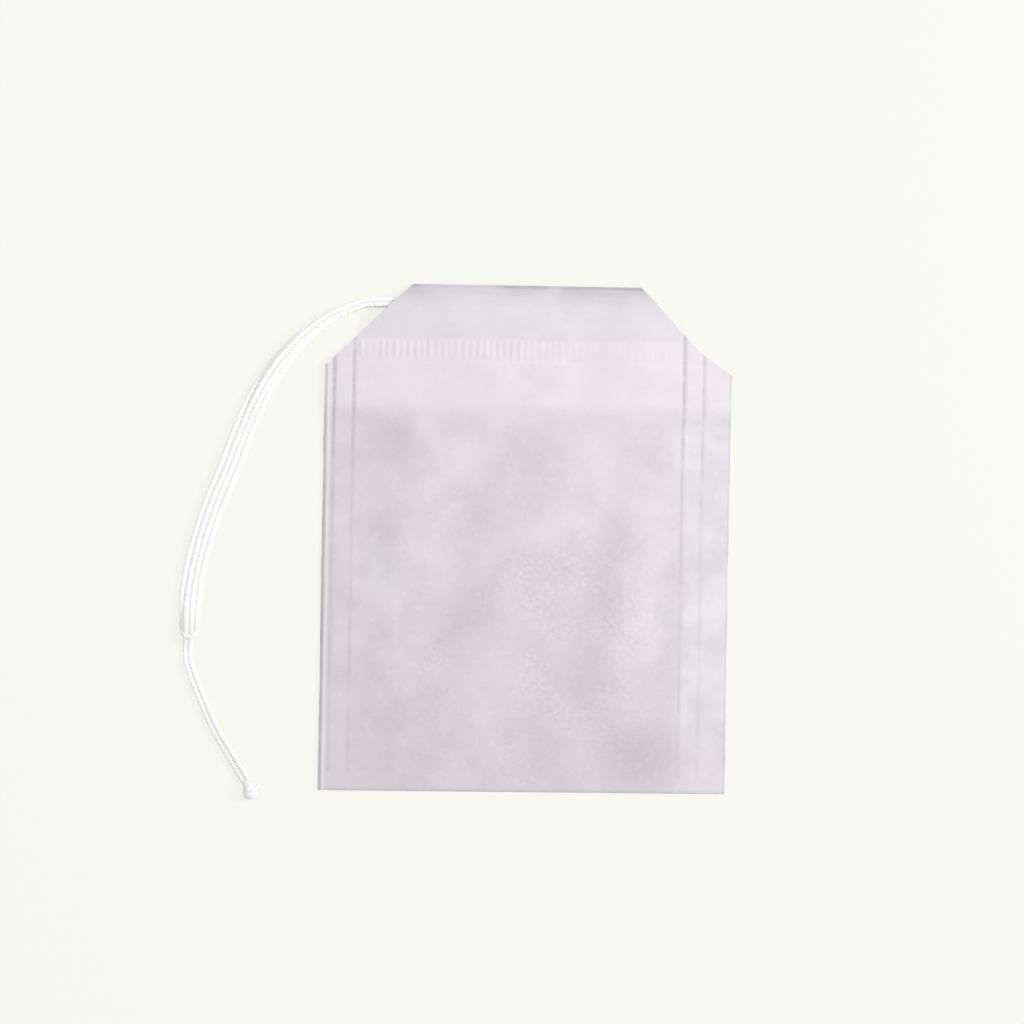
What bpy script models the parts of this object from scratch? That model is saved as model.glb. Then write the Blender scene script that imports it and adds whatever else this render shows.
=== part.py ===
# Paper tea filter: a flat drawstring bag folded from one strip of filter paper, with a doubled cotton
# thread through its hem. It lies on its back: +X across the bag, +Y towards the mouth, +Z up.
# Metres. The origin is under the middle of the bag, on the table.

from math import cos, hypot, pi, radians, sin

import bmesh
import bpy
from mathutils import Matrix, Vector

# The strip of paper.
BAG_WIDTH = 0.056
BAG_LENGTH = 0.070
PAPER = 0.00015  # wall
HEM_DEPTH = 0.0166  # how far each top edge is folded down inside
PLY_GAP = 0.00025  # air between two plies that only lie on each other
PRESSED_GAP = 0.00005  # air between two plies just beside a seal
HEM_STEP = 0.0018  # over which the front panel comes down from the hem
BOTTOM_RISE = 0.00075  # the bottom fold is askew and ends this much higher at the right
BOTTOM_TAPER = 0.0004  # how far each side has come in at the bottom

# The empty pocket swells a little, and long soft waves lean across its front panel.
POCKET_SWELL = 0.0010
SWELL_EDGE = 0.009  # width over which the swelling dies out at the sides
BOTTOM_SLOPE = 0.010  # the same at the bottom fold
WAVE_LENGTH = 0.0205
WAVE_HEIGHT = 0.00030
WAVE_LEAN = 0.38  # across for each metre along the bag
WAVE_CREST = (0.0047, 0.0130)
WAVE_FADE = 0.006  # below the hem
DENT_AT = (0.0095, -0.0290)
DENT_RADIUS = 0.0085
DENT_DEPTH = 0.00028

# The drawstring channel and the knurled seal under it.
CHANNEL_WIDTH = 0.0073
CRIMP_WIDTH = 0.0030
CRIMP_RIB_PITCH = 0.00095
CRIMP_RIB_HEIGHT = 0.00012
CRIMP_BLEND = 0.0004

# The side seals: two weld lines each, further in on the right than on the left.
SEAL_WIDTH = 0.0027
SEAL_INSET_LEFT = 0.0013
SEAL_INSET_RIGHT = 0.0038
SEAL_END = 0.0032  # how far the weld lines stop above the bottom fold
WELD_WIDTH = 0.00024
GROOVE_FLOOR = 0.0003
GROOVE_WIDTH = 0.0009

# The corners that are cut off, which open the ends of the channel.
CORNER_LEFT = (0.0120, 0.0114)  # across, down
CORNER_RIGHT = (0.0125, 0.0118)
CORNER_BOW = 0.00075  # how far the right cut bows inwards, deepest past its middle
BOW_LATENESS = 1.35
CORNER_STEPS = 6
CUTTER_REACH = 0.004  # past the paper
CUTTER_DEPTH = 0.010

# The cotton thread and where it runs.
THREAD = 0.00065
THREAD_CLEAR = 0.00015  # round the thread in its channel
THREAD_SPACE = 0.00015  # between two threads side by side
THREAD_FROM_TOP = 0.0026
LOOP_INSET = 0.0010  # how far the turn at the right stays inside the cut corner
THREAD_JOINT = 0.0003  # between the hidden and the free part of a strand
KNOT_RADIUS = 0.00085
STUB_LENGTH = 0.0011

# The bundle's middle line from the left corner to the knot, then how far the strands have spread.
BUNDLE_ROUTE = [
    (-0.0224, 0.0323, 0.0),
    (-0.0247, 0.0315, 0.0),
    (-0.0275, 0.0302, 0.05),
    (-0.0303, 0.0281, 0.25),
    (-0.0326, 0.0258, 0.45),
    (-0.0350, 0.0228, 0.70),
    (-0.0376, 0.0182, 0.95),
    (-0.0393, 0.0140, 1.0),
    (-0.0410, 0.0093, 1.0),
    (-0.0430, 0.0042, 1.0),
    (-0.0446, -0.0009, 1.0),
    (-0.0454, -0.0042, 1.0),
    (-0.0459, -0.0075, 1.0),
    (-0.0461, -0.0105, 1.0),
    (-0.0461, -0.0129, 1.0),
]
TAIL_ROUTE = [
    (-0.0463, -0.0155),
    (-0.0460, -0.0180),
    (-0.0443, -0.0225),
    (-0.0422, -0.0271),
    (-0.0393, -0.0318),
    (-0.0378, -0.0342),
]
KNOT_AT = (-0.0373, -0.0355)
LEG_SPREAD = 0.00136  # the bight's legs from the middle line where the strands lie flat
TAIL_SPREAD = 0.00046
TURN_REACH = 0.9  # length of the bight's turn against half its width
STRAND_POINTS = 15
TAIL_POINTS = 7
TURN_POINTS = 6

PLY = PAPER + PLY_GAP
PRESSED_PLY = PAPER + PRESSED_GAP
CHANNEL_PLY = PAPER + THREAD + 2 * THREAD_CLEAR
HALF_WIDTH = BAG_WIDTH / 2
HALF_LENGTH = BAG_LENGTH / 2
FOLD_AXIS = HALF_LENGTH - PLY / 2 - PAPER / 2
HEM_EDGE = HALF_LENGTH - HEM_DEPTH
CRIMP_TOP = HALF_LENGTH - CHANNEL_WIDTH
CRIMP_BOTTOM = CRIMP_TOP - CRIMP_WIDTH
CRIMP_LIFT = CRIMP_RIB_HEIGHT
THREAD_Y = HALF_LENGTH - THREAD_FROM_TOP
SEAL_BOTTOM = -HALF_LENGTH + SEAL_END
WELDS_LEFT = [-HALF_WIDTH + SEAL_INSET_LEFT, -HALF_WIDTH + SEAL_INSET_LEFT + SEAL_WIDTH]
WELDS_RIGHT = [HALF_WIDTH - SEAL_INSET_RIGHT - SEAL_WIDTH, HALF_WIDTH - SEAL_INSET_RIGHT]
STRAND_PITCH = THREAD + THREAD_SPACE
FRONT_THREAD_Z = PAPER + CHANNEL_PLY + PLY + CHANNEL_PLY / 2 - PAPER / 2
BACK_THREAD_Z = PAPER / 2 + CHANNEL_PLY / 2


def clear_scene():
    for obj in list(bpy.data.objects):
        bpy.data.objects.remove(obj, do_unlink=True)


def new_collection(name):
    collection = bpy.data.collections.new(name)
    bpy.context.scene.collection.children.link(collection)
    return collection


def new_material(name, color, roughness):
    material = bpy.data.materials.new(name)
    material.use_nodes = True
    shader = material.node_tree.nodes["Principled BSDF"]
    shader.inputs["Base Color"].default_value = (*color, 1.0)
    shader.inputs["Roughness"].default_value = roughness
    shader.inputs["Metallic"].default_value = 0.0
    material.diffuse_color = (*color, 1.0)
    return material


def link_mesh(name, mesh, collection, material=None):
    obj = bpy.data.objects.new(name, mesh)
    collection.objects.link(obj)
    if material:
        mesh.materials.append(material)
    return obj


def hide_tool(obj):
    obj.hide_render = True
    obj.display_type = "WIRE"


def ramp(value, low, high):
    """0 below low, 1 above high, and smooth between them."""
    part = min(max((value - low) / (high - low), 0.0), 1.0)
    return part * part * (3 - 2 * part)


# How the plies of the folded strip lie over each other at any place of the bag.


def groove(x):
    """1 on a weld line, 0 away from them."""
    nearest = min(abs(x - line) for line in WELDS_LEFT + WELDS_RIGHT)
    return 1 - ramp(nearest, GROOVE_FLOOR / 2, GROOVE_WIDTH / 2)


def welded(x, y):
    return groove(x) * ramp(y, SEAL_BOTTOM - GROOVE_WIDTH, SEAL_BOTTOM)


def crimped(y):
    rising = ramp(y, CRIMP_BOTTOM - CRIMP_BLEND, CRIMP_BOTTOM)
    return rising * (1 - ramp(y, CRIMP_TOP, CRIMP_TOP + CRIMP_BLEND))


def ridge(y):
    """1 over the thread in its channel, sloping to 0 at the seal below and at the fold above."""
    rising = ramp(y, CRIMP_TOP + CRIMP_BLEND, THREAD_Y - STRAND_PITCH)
    return rising * (1 - ramp(y, THREAD_Y + STRAND_PITCH, FOLD_AXIS))


def channel_ply(x, y):
    """Spacing of a panel and its own hem."""
    loose = (1 - welded(x, y)) * (1 - crimped(y))
    return PRESSED_PLY + (PLY - PRESSED_PLY) * loose + (CHANNEL_PLY - PLY) * ridge(y)


def mouth_ply(x, y):
    """Spacing of the two hems."""
    return PRESSED_PLY + (PLY - PRESSED_PLY) * (1 - welded(x, y))


def waves(x, y):
    """The front panel's slow rise and fall, and one shallow dent near the bottom."""
    crest_x, crest_y = WAVE_CREST
    from_crest = x - crest_x - WAVE_LEAN * (y - crest_y)
    wave = WAVE_HEIGHT * cos(2 * pi * from_crest / WAVE_LENGTH)
    wave *= 1 - ramp(y, HEM_EDGE - WAVE_FADE, HEM_EDGE)
    from_dent = hypot(x - DENT_AT[0], y - DENT_AT[1])
    return wave - DENT_DEPTH * (1 - ramp(from_dent, 0.0, DENT_RADIUS))


def pocket_ply(x, y):
    """Spacing of the two panels below the hems."""
    across = ramp(x, WELDS_LEFT[1], WELDS_LEFT[1] + SWELL_EDGE)
    across *= 1 - ramp(x, WELDS_RIGHT[0] - SWELL_EDGE, WELDS_RIGHT[0])
    along = ramp(y, -FOLD_AXIS, -FOLD_AXIS + BOTTOM_SLOPE)
    return mouth_ply(x, y) + (POCKET_SWELL + waves(x, y)) * across * along


def back_panel(x, y):
    return PAPER / 2 + CRIMP_LIFT * crimped(y)


def back_hem(x, y):
    return back_panel(x, y) + channel_ply(x, y)


def front_hem(x, y):
    return back_hem(x, y) + mouth_ply(x, y)


def front_panel(x, y):
    over_hem = front_hem(x, y) + channel_ply(x, y)
    over_pocket = back_panel(x, y) + pocket_ply(x, y)
    return over_pocket + (over_hem - over_pocket) * ramp(y, HEM_EDGE - HEM_STEP, HEM_EDGE - PAPER)


def askew(x, y):
    """Where a place of the true rectangle lies on the table."""
    share = max(HEM_EDGE - y, 0.0) / (HEM_EDGE + HALF_LENGTH)
    rise = BOTTOM_RISE * (x + HALF_WIDTH) / BAG_WIDTH
    return x * (1 - BOTTOM_TAPER / HALF_WIDTH * share), y + rise * share


def fold_over(axis_y, first_z, last_z, side, steps=4):
    """The round of paper between two plies: side is 1 at the mouth and -1 at the bottom."""
    middle = (first_z + last_z) / 2
    radius = (last_z - first_z) / 2
    turns = [pi * step / steps for step in range(1, steps)]
    return [(axis_y + side * abs(radius) * sin(turn), middle - radius * cos(turn)) for turn in turns]


def hem_rows():
    """Places along Y where the hems and the channel change their slope, from the hem's edge up."""
    rows = [HEM_EDGE, CRIMP_BOTTOM - 2 * CRIMP_BLEND, CRIMP_BOTTOM - CRIMP_BLEND, CRIMP_BOTTOM]
    rows += [CRIMP_TOP, CRIMP_TOP + CRIMP_BLEND]
    low, high = CRIMP_TOP + CRIMP_BLEND, THREAD_Y - STRAND_PITCH
    rows += [low + (high - low) * step / 5 for step in range(1, 6)]
    low, high = THREAD_Y + STRAND_PITCH, FOLD_AXIS
    rows += [low + (high - low) * step / 4 for step in range(5)]
    return rows


def pocket_rows():
    """The same for the front panel from the bottom fold to just past the hem's edge."""
    rows = [-FOLD_AXIS + BOTTOM_SLOPE * step / 5 for step in range(6)]
    rows += [SEAL_BOTTOM - GROOVE_WIDTH / 2]
    low, high = -FOLD_AXIS + BOTTOM_SLOPE, HEM_EDGE - HEM_STEP
    rows += [low + (high - low) * step / 9 for step in range(1, 10)]
    rows += [HEM_EDGE - HEM_STEP * share for share in (0.75, 0.5, 0.25)]
    return sorted(rows + [HEM_EDGE - PAPER, HEM_EDGE + 2 * PAPER])


def back_rows():
    rows = [CRIMP_TOP + CRIMP_BLEND, CRIMP_TOP, CRIMP_BOTTOM, CRIMP_BOTTOM - CRIMP_BLEND]
    return [FOLD_AXIS] + rows + [0.0, -FOLD_AXIS]


def section(x):
    """The strip's middle surface as (y, z), from the back hem's edge round to the front hem's edge."""
    up = hem_rows()
    points = [(y, back_hem(x, y)) for y in up]
    points += fold_over(FOLD_AXIS, back_hem(x, FOLD_AXIS), back_panel(x, FOLD_AXIS), 1)
    points += [(y, back_panel(x, y)) for y in back_rows()]
    points += fold_over(-FOLD_AXIS, back_panel(x, -FOLD_AXIS), front_panel(x, -FOLD_AXIS), -1)
    points += [(y, front_panel(x, y)) for y in pocket_rows() + up[1:]]
    points += fold_over(FOLD_AXIS, front_panel(x, FOLD_AXIS), front_hem(x, FOLD_AXIS), 1)
    return points + [(y, front_hem(x, y)) for y in reversed(up)]


def columns():
    """Places along X where the surface changes its slope."""
    places = [-HALF_WIDTH, HALF_WIDTH]
    for line in WELDS_LEFT + WELDS_RIGHT:
        for away in (GROOVE_FLOOR / 2, GROOVE_WIDTH / 2):
            places += [line - away, line + away]
    low = WELDS_LEFT[1] + GROOVE_WIDTH / 2
    high = WELDS_RIGHT[0] - GROOVE_WIDTH / 2
    inner = [SWELL_EDGE * share for share in (0.25, 0.5, 0.75, 1.0)]
    places += [low + step for step in inner] + [high - step for step in inner]
    flat = high - low - 2 * SWELL_EDGE
    steps = max(round(flat / (WAVE_LENGTH / 8)), 2)
    return sorted(places + [low + SWELL_EDGE + flat * step / steps for step in range(1, steps)])


def folded_strip(collection, material):
    """A flat grid, one row for each fold or slope, laid into the folded form and given its thickness."""
    places = columns()
    sections = [section(x) for x in places]
    bm = bmesh.new()
    bmesh.ops.create_grid(bm, x_segments=len(places) - 1, y_segments=len(sections[0]) - 1, size=1.0)
    for vert in bm.verts:
        column = round((vert.co.x + 1) / 2 * (len(places) - 1))
        row = round((vert.co.y + 1) / 2 * (len(sections[0]) - 1))
        y, z = sections[column][row]
        vert.co = (*askew(places[column], y), z)
    mesh = bpy.data.meshes.new("filter_bag")
    bm.to_mesh(mesh)
    bm.free()
    sheet = link_mesh("filter_bag", mesh, collection, material)
    wall = sheet.modifiers.new("paper", "SOLIDIFY")
    wall.thickness = PAPER
    wall.offset = 0.0
    wall.use_even_offset = True
    return sheet


def outline_solid(name, outline, depth, collection):
    """A closed flat outline extruded to both sides of its own XY plane, as a mesh."""
    curve = bpy.data.curves.new(name, "CURVE")
    curve.dimensions = "2D"
    curve.fill_mode = "BOTH"
    curve.extrude = depth / 2
    spline = curve.splines.new("POLY")
    spline.points.add(len(outline) - 1)
    for point, (x, y) in zip(spline.points, outline):
        point.co = (x, y, 0.0, 1.0)
    spline.use_cyclic_u = True
    guide = bpy.data.objects.new(name + "_outline", curve)
    collection.objects.link(guide)
    graph = bpy.context.evaluated_depsgraph_get()
    mesh = bpy.data.meshes.new_from_object(guide.evaluated_get(graph))
    bpy.data.objects.remove(guide, do_unlink=True)
    bm = bmesh.new()
    bm.from_mesh(mesh)
    bmesh.ops.remove_doubles(bm, verts=bm.verts, dist=1e-7)
    bmesh.ops.recalc_face_normals(bm, faces=bm.faces)
    bm.to_mesh(mesh)
    bm.free()
    obj = link_mesh(name, mesh, collection)
    hide_tool(obj)
    return obj


def box_solid(name, low, high, collection):
    bm = bmesh.new()
    bmesh.ops.create_cube(bm, size=1.0)
    low, high = Vector(low), Vector(high)
    bmesh.ops.transform(bm, matrix=Matrix.Diagonal((*(high - low), 1.0)), verts=bm.verts)
    bmesh.ops.translate(bm, vec=(low + high) / 2, verts=bm.verts)
    mesh = bpy.data.meshes.new(name)
    bm.to_mesh(mesh)
    bm.free()
    obj = link_mesh(name, mesh, collection)
    hide_tool(obj)
    return obj


def knurled_bar(name, inner_z, outer_z, collection):
    """Joins a panel to its hem. The side at outer_z carries the ribs, which run along Y."""
    low = WELDS_LEFT[1] + GROOVE_WIDTH
    high = WELDS_RIGHT[0] - GROOVE_WIDTH
    ribs = round((high - low) / CRIMP_RIB_PITCH)
    pitch = (high - low) / ribs
    up = 1 if outer_z > inner_z else -1
    root = outer_z + up * 0.1 * CRIMP_RIB_HEIGHT
    crest = outer_z + up * CRIMP_RIB_HEIGHT
    outline = [(low, inner_z), (low, root)]
    for rib in range(ribs):
        start = low + rib * pitch
        outline += [(start + 0.3 * pitch, root), (start + 0.5 * pitch, crest)]
        outline += [(start + 0.7 * pitch, crest), (start + 0.9 * pitch, root)]
    outline += [(high, root), (high, inner_z)]
    bar = outline_solid(name, outline, CRIMP_WIDTH, collection)
    bar.rotation_euler = (pi / 2, 0.0, 0.0)
    bar.location = (0.0, (CRIMP_TOP + CRIMP_BOTTOM) / 2, 0.0)
    return bar


def weld_line(name, line, collection):
    """A thin bar through the plies under a groove: through two of them, then through four at the hems.

    It ends where the plies part for the channel."""
    middle = PAPER / 2
    two_plies = middle + PRESSED_PLY
    four_plies = middle + 3 * PRESSED_PLY
    step_y = HEM_EDGE + PAPER
    end_y = CRIMP_TOP + CRIMP_BLEND / 2
    profile = [(SEAL_BOTTOM, middle), (HEM_EDGE, middle), (end_y, middle), (end_y, four_plies)]
    profile += [(step_y, four_plies), (step_y, two_plies), (HEM_EDGE, two_plies), (SEAL_BOTTOM, two_plies)]
    bm = bmesh.new()
    sides = []
    for x in (line - WELD_WIDTH / 2, line + WELD_WIDTH / 2):
        side = [bm.verts.new((*askew(x, y), z)) for y, z in profile]
        bm.faces.new([side[0], side[1], side[6], side[7]])
        bm.faces.new(side[1:7])
        sides.append(side)
    left, right = sides
    for index in range(len(profile)):
        after = (index + 1) % len(profile)
        bm.faces.new([left[index], left[after], right[after], right[index]])
    bmesh.ops.recalc_face_normals(bm, faces=bm.faces)
    mesh = bpy.data.meshes.new(name)
    bm.to_mesh(mesh)
    bm.free()
    hide_tool(link_mesh(name, mesh, collection))


def corner_cutter(name, side, corner, bow, collection):
    """A wedge past the bag's corner, whose inner edge may bow inwards a little."""
    across, down = corner
    start = Vector((side * (HALF_WIDTH - across), HALF_LENGTH))
    end = Vector((side * HALF_WIDTH, HALF_LENGTH - down))
    inward = Vector((-side * down, -across)).normalized()
    shares = [step / CORNER_STEPS for step in range(CORNER_STEPS + 1)] if bow else [0.0, 1.0]
    edge = [start.lerp(end, share) + inward * bow * sin(pi * share**BOW_LATENESS) for share in shares]
    edge.insert(0, start + (start - edge[1]).normalized() * CUTTER_REACH)
    edge.append(end + (end - edge[-2]).normalized() * CUTTER_REACH)
    edge.append(Vector((side * (HALF_WIDTH + 2 * CUTTER_REACH), HALF_LENGTH + 2 * CUTTER_REACH)))
    return outline_solid(name, [tuple(point) for point in edge], CUTTER_DEPTH, collection)


def corner_x(side, corner, y):
    """Where the straight chord of a cut corner stands at height y."""
    across, down = corner
    return side * (HALF_WIDTH - across + across * (HALF_LENGTH - y) / down)


def filter_bag(collection, tools, material):
    sheet = folded_strip(collection, material)
    seals = bpy.data.collections.new("seals")
    cuts = bpy.data.collections.new("cuts")
    tools.children.link(seals)
    tools.children.link(cuts)
    x = 0.0
    y = (CRIMP_TOP + CRIMP_BOTTOM) / 2
    knurled_bar("front_crimp", front_hem(x, y), front_panel(x, y) + PAPER / 2, seals)
    knurled_bar("back_crimp", back_hem(x, y), back_panel(x, y) - PAPER / 2, seals)
    for number, line in enumerate(WELDS_LEFT + WELDS_RIGHT, 1):
        weld_line(f"weld_{number}", line, seals)
    corner_cutter("left_corner", -1, CORNER_LEFT, 0.0, cuts)
    corner_cutter("right_corner", 1, CORNER_RIGHT, CORNER_BOW, cuts)
    # The taut thread draws the two hems back from the cut where it turns round them.
    turn_x = corner_x(1, CORNER_RIGHT, THREAD_Y) - LOOP_INSET
    reach = STRAND_PITCH + THREAD / 2
    z = BACK_THREAD_Z + THREAD / 2 + THREAD_CLEAR / 2
    box_solid(
        "loop_notch",
        (turn_x - THREAD - 3 * THREAD_CLEAR, THREAD_Y - reach, z),
        (HALF_WIDTH, THREAD_Y + reach, FRONT_THREAD_Z - THREAD / 2 - THREAD_CLEAR / 2),
        cuts,
    )
    for name, operation, group in (("sealed", "UNION", seals), ("cut", "DIFFERENCE", cuts)):
        modifier = sheet.modifiers.new(name, "BOOLEAN")
        modifier.operation = operation
        modifier.operand_type = "COLLECTION"
        modifier.collection = group
        modifier.solver = "EXACT"
    return sheet


# The drawstring.


def spline_point(points, place):
    """A point of the smooth curve through points, place counting from 0 to their number less one."""
    index = min(int(place), len(points) - 2)
    part = place - index
    before = points[max(index - 1, 0)]
    start, end = points[index], points[index + 1]
    after = points[min(index + 2, len(points) - 1)]
    return 0.5 * (
        2 * start
        + (end - before) * part
        + (2 * before - 5 * start + 4 * end - after) * part**2
        + (3 * start - before - 3 * end + after) * part**3
    )


def smooth_line(points, count):
    """Count points along the smooth curve through points, denser where those are."""
    last = len(points) - 1
    return [spline_point(points, last * step / (count - 1)) for step in range(count)]


def towards_bag(points, index):
    """The level unit vector across the line, on the bag's side of it."""
    before = points[max(index - 1, 0)]
    after = points[min(index + 1, len(points) - 1)]
    along = (after - before).xy.normalized()
    return Vector((-along.y, along.x, 0.0))


def strand_offsets(spread):
    """Place across the bundle, and height, of the outer leg, inner leg, outer tail and inner tail.

    The tails ride on the legs, and sink between them as these spread."""
    packed = STRAND_PITCH / 2
    leg = packed + (LEG_SPREAD - packed) * spread
    tail = packed + (TAIL_SPREAD - packed) * spread
    rise = max(STRAND_PITCH**2 - (leg - tail) ** 2, 0.0) ** 0.5
    lying = THREAD / 2
    return [(-leg, lying), (leg, lying), (-tail, lying + rise), (tail, lying + rise)]


def strand_ends():
    """Where the four strands leave the left corner, in the order of strand_offsets."""
    x = corner_x(-1, CORNER_LEFT, THREAD_Y) - THREAD_JOINT
    side = STRAND_PITCH / 2
    return [
        Vector((x, THREAD_Y + side, BACK_THREAD_Z)),
        Vector((x, THREAD_Y - side, BACK_THREAD_Z)),
        Vector((x, THREAD_Y + side, FRONT_THREAD_Z)),
        Vector((x, THREAD_Y - side, FRONT_THREAD_Z)),
    ]


def bundle_strands():
    """The four strands from the corner to the bight, as lists of points."""
    line = smooth_line([Vector(point) for point in BUNDLE_ROUTE], STRAND_POINTS)
    strands = [[end] for end in strand_ends()]
    for index, point in enumerate(line):
        spread = min(max(point.z, 0.0), 1.0)
        side = towards_bag(line, index)
        for strand, (away, height) in zip(strands, strand_offsets(spread)):
            strand.append(Vector((point.x, point.y, height)) + side * away)
    return strands


def bight_points(outer, inner):
    """The leg down, the turn over the two tails, and the leg back."""
    first, last = outer[-1], inner[-1]
    middle = (first + last) / 2
    arm = first - middle
    down = (first - outer[-2]).xy.normalized()
    ahead = Vector((down.x, down.y, 0.0)) * arm.length * TURN_REACH
    lift = Vector((0.0, 0.0, STRAND_PITCH))
    turn = []
    for step in range(1, TURN_POINTS):
        angle = pi * step / TURN_POINTS
        turn.append(middle + arm * cos(angle) + ahead * sin(angle) + lift * ramp(sin(angle), 0.0, 0.9))
    return outer + turn + list(reversed(inner))


def tail_points(strand, side):
    """The tail strand under the bight and on to the knot: side is 1 towards the bag and -1 away from it."""
    middle = [Vector((x, y, 0.0)) for x, y in TAIL_ROUTE + [KNOT_AT]]
    line = smooth_line(middle, TAIL_POINTS)
    knot = Vector((KNOT_AT[0], KNOT_AT[1], 0.0))
    reach = KNOT_RADIUS + THREAD_JOINT
    points = list(strand)
    for index, point in enumerate(line[:-1]):
        offset = towards_bag(line, index) * side * STRAND_PITCH / 2
        points.append(Vector((point.x, point.y, THREAD / 2)) + offset)
    along = (knot - line[-2]).normalized()
    end = knot - along * reach + towards_bag(line, len(line) - 1) * side * STRAND_PITCH / 2
    points.append(Vector((end.x, end.y, KNOT_RADIUS * 0.8)))
    return points


def thread_tube(name, points, collection, material):
    curve = bpy.data.curves.new(name, "CURVE")
    curve.dimensions = "3D"
    curve.bevel_depth = THREAD / 2
    curve.bevel_resolution = 2
    curve.use_fill_caps = True
    curve.materials.append(material)
    spline = curve.splines.new("POLY")
    spline.points.add(len(points) - 1)
    for place, point in zip(spline.points, points):
        place.co = (*point, 1.0)
    obj = bpy.data.objects.new(name, curve)
    collection.objects.link(obj)
    return obj


def hem_run(name, side, collection, material):
    """The hidden part of a strand: along the front channel, round the hems at the right, and back."""
    y = THREAD_Y + side * STRAND_PITCH / 2
    start = corner_x(-1, CORNER_LEFT, THREAD_Y)
    turn = corner_x(1, CORNER_RIGHT, THREAD_Y) - LOOP_INSET
    middle = (FRONT_THREAD_Z + BACK_THREAD_Z) / 2
    radius = (FRONT_THREAD_Z - BACK_THREAD_Z) / 2
    centre = turn - THREAD / 2 - radius
    runs = 6
    front = [(start + (centre - start) * step / runs, FRONT_THREAD_Z) for step in range(runs)]
    back = [(x, BACK_THREAD_Z) for x, _ in reversed(front)]
    angles = [pi / 2 - pi * step / TURN_POINTS for step in range(TURN_POINTS + 1)]
    bend = [(centre + radius * cos(angle), middle + radius * sin(angle)) for angle in angles]
    points = [Vector((x, y, z)) for x, z in front + bend + back]
    return thread_tube(name, points, collection, material)


def end_knot(collection, material):
    """The lump that ties the two tails: a core with one turn of thread round it, and a cut end."""
    centre = Vector((KNOT_AT[0], KNOT_AT[1], KNOT_RADIUS))
    last_x, last_y = TAIL_ROUTE[-1]
    heading = Vector((KNOT_AT[0] - last_x, KNOT_AT[1] - last_y, 0.0)).to_track_quat("X", "Z")
    bpy.ops.mesh.primitive_uv_sphere_add(segments=20, ring_count=12, radius=KNOT_RADIUS * 0.9)
    core = bpy.context.object
    core.name = "drawstring_knot"
    bpy.ops.mesh.primitive_torus_add(
        major_segments=24,
        minor_segments=10,
        major_radius=KNOT_RADIUS - THREAD / 2,
        minor_radius=THREAD / 2,
        rotation=(0.0, pi / 2 + radians(14), 0.0),
    )
    wrap = bpy.context.object
    wrap.name = "knot_turn"
    bpy.ops.mesh.primitive_cylinder_add(
        vertices=10,
        radius=THREAD * 0.4,
        depth=STUB_LENGTH + KNOT_RADIUS,
        location=(-0.25 * STUB_LENGTH, (STUB_LENGTH + KNOT_RADIUS) / 2, 0.0),
        rotation=(pi / 2, 0.0, radians(-20)),
    )
    stub = bpy.context.object
    stub.name = "knot_stub"
    return core, wrap, stub, centre, heading


def join_knot(collection, tools, material):
    core, wrap, stub, centre, heading = end_knot(collection, material)
    for obj in (wrap, stub):
        modifier = core.modifiers.new(obj.name, "BOOLEAN")
        modifier.operation = "UNION"
        modifier.solver = "EXACT"
        modifier.object = obj
    for obj in (core, wrap, stub):
        obj.matrix_world = Matrix.Translation(centre) @ heading.to_matrix().to_4x4() @ obj.matrix_world
        for group in list(obj.users_collection):
            group.objects.unlink(obj)
    collection.objects.link(core)
    core.data.materials.append(material)
    for obj in (wrap, stub):
        tools.objects.link(obj)
        hide_tool(obj)
    return core


def drawstring(collection, tools, material):
    outer_leg, inner_leg, outer_tail, inner_tail = bundle_strands()
    hem_run("drawstring_hem_run_1", 1, collection, material)
    hem_run("drawstring_hem_run_2", -1, collection, material)
    thread_tube("drawstring_bight", bight_points(outer_leg, inner_leg), collection, material)
    thread_tube("drawstring_tail_1", tail_points(outer_tail, -1), collection, material)
    thread_tube("drawstring_tail_2", tail_points(inner_tail, 1), collection, material)
    join_knot(collection, tools, material)


def main():
    clear_scene()
    bpy.context.scene.unit_settings.system = "METRIC"
    bpy.context.scene.unit_settings.scale_length = 1.0
    parts = new_collection("paper_tea_filter")
    tools = new_collection("cutters")
    tools.hide_render = True
    paper = new_material("filter_paper", (0.74, 0.70, 0.75), 0.9)
    cotton = new_material("cotton", (0.86, 0.86, 0.85), 0.85)
    filter_bag(parts, tools, paper)
    drawstring(parts, tools, cotton)


main()
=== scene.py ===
import math
import random

import bmesh
import bpy
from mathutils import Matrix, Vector, noise


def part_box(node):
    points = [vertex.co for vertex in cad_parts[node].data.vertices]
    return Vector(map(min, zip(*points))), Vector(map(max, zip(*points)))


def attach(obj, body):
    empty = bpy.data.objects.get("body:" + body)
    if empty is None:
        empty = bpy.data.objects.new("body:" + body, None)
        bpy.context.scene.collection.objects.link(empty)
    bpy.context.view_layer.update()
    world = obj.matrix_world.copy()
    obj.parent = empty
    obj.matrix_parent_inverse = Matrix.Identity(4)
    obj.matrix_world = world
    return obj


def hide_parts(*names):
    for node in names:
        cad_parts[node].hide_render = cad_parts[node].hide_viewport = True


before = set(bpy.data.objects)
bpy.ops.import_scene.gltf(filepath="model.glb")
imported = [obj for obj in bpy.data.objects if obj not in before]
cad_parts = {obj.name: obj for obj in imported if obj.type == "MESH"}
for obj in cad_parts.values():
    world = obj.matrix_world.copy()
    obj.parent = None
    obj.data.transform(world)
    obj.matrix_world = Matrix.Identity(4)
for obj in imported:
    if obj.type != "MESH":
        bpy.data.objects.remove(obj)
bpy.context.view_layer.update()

# Paper tea filter, seen from above. Everything is in metres.

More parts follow.
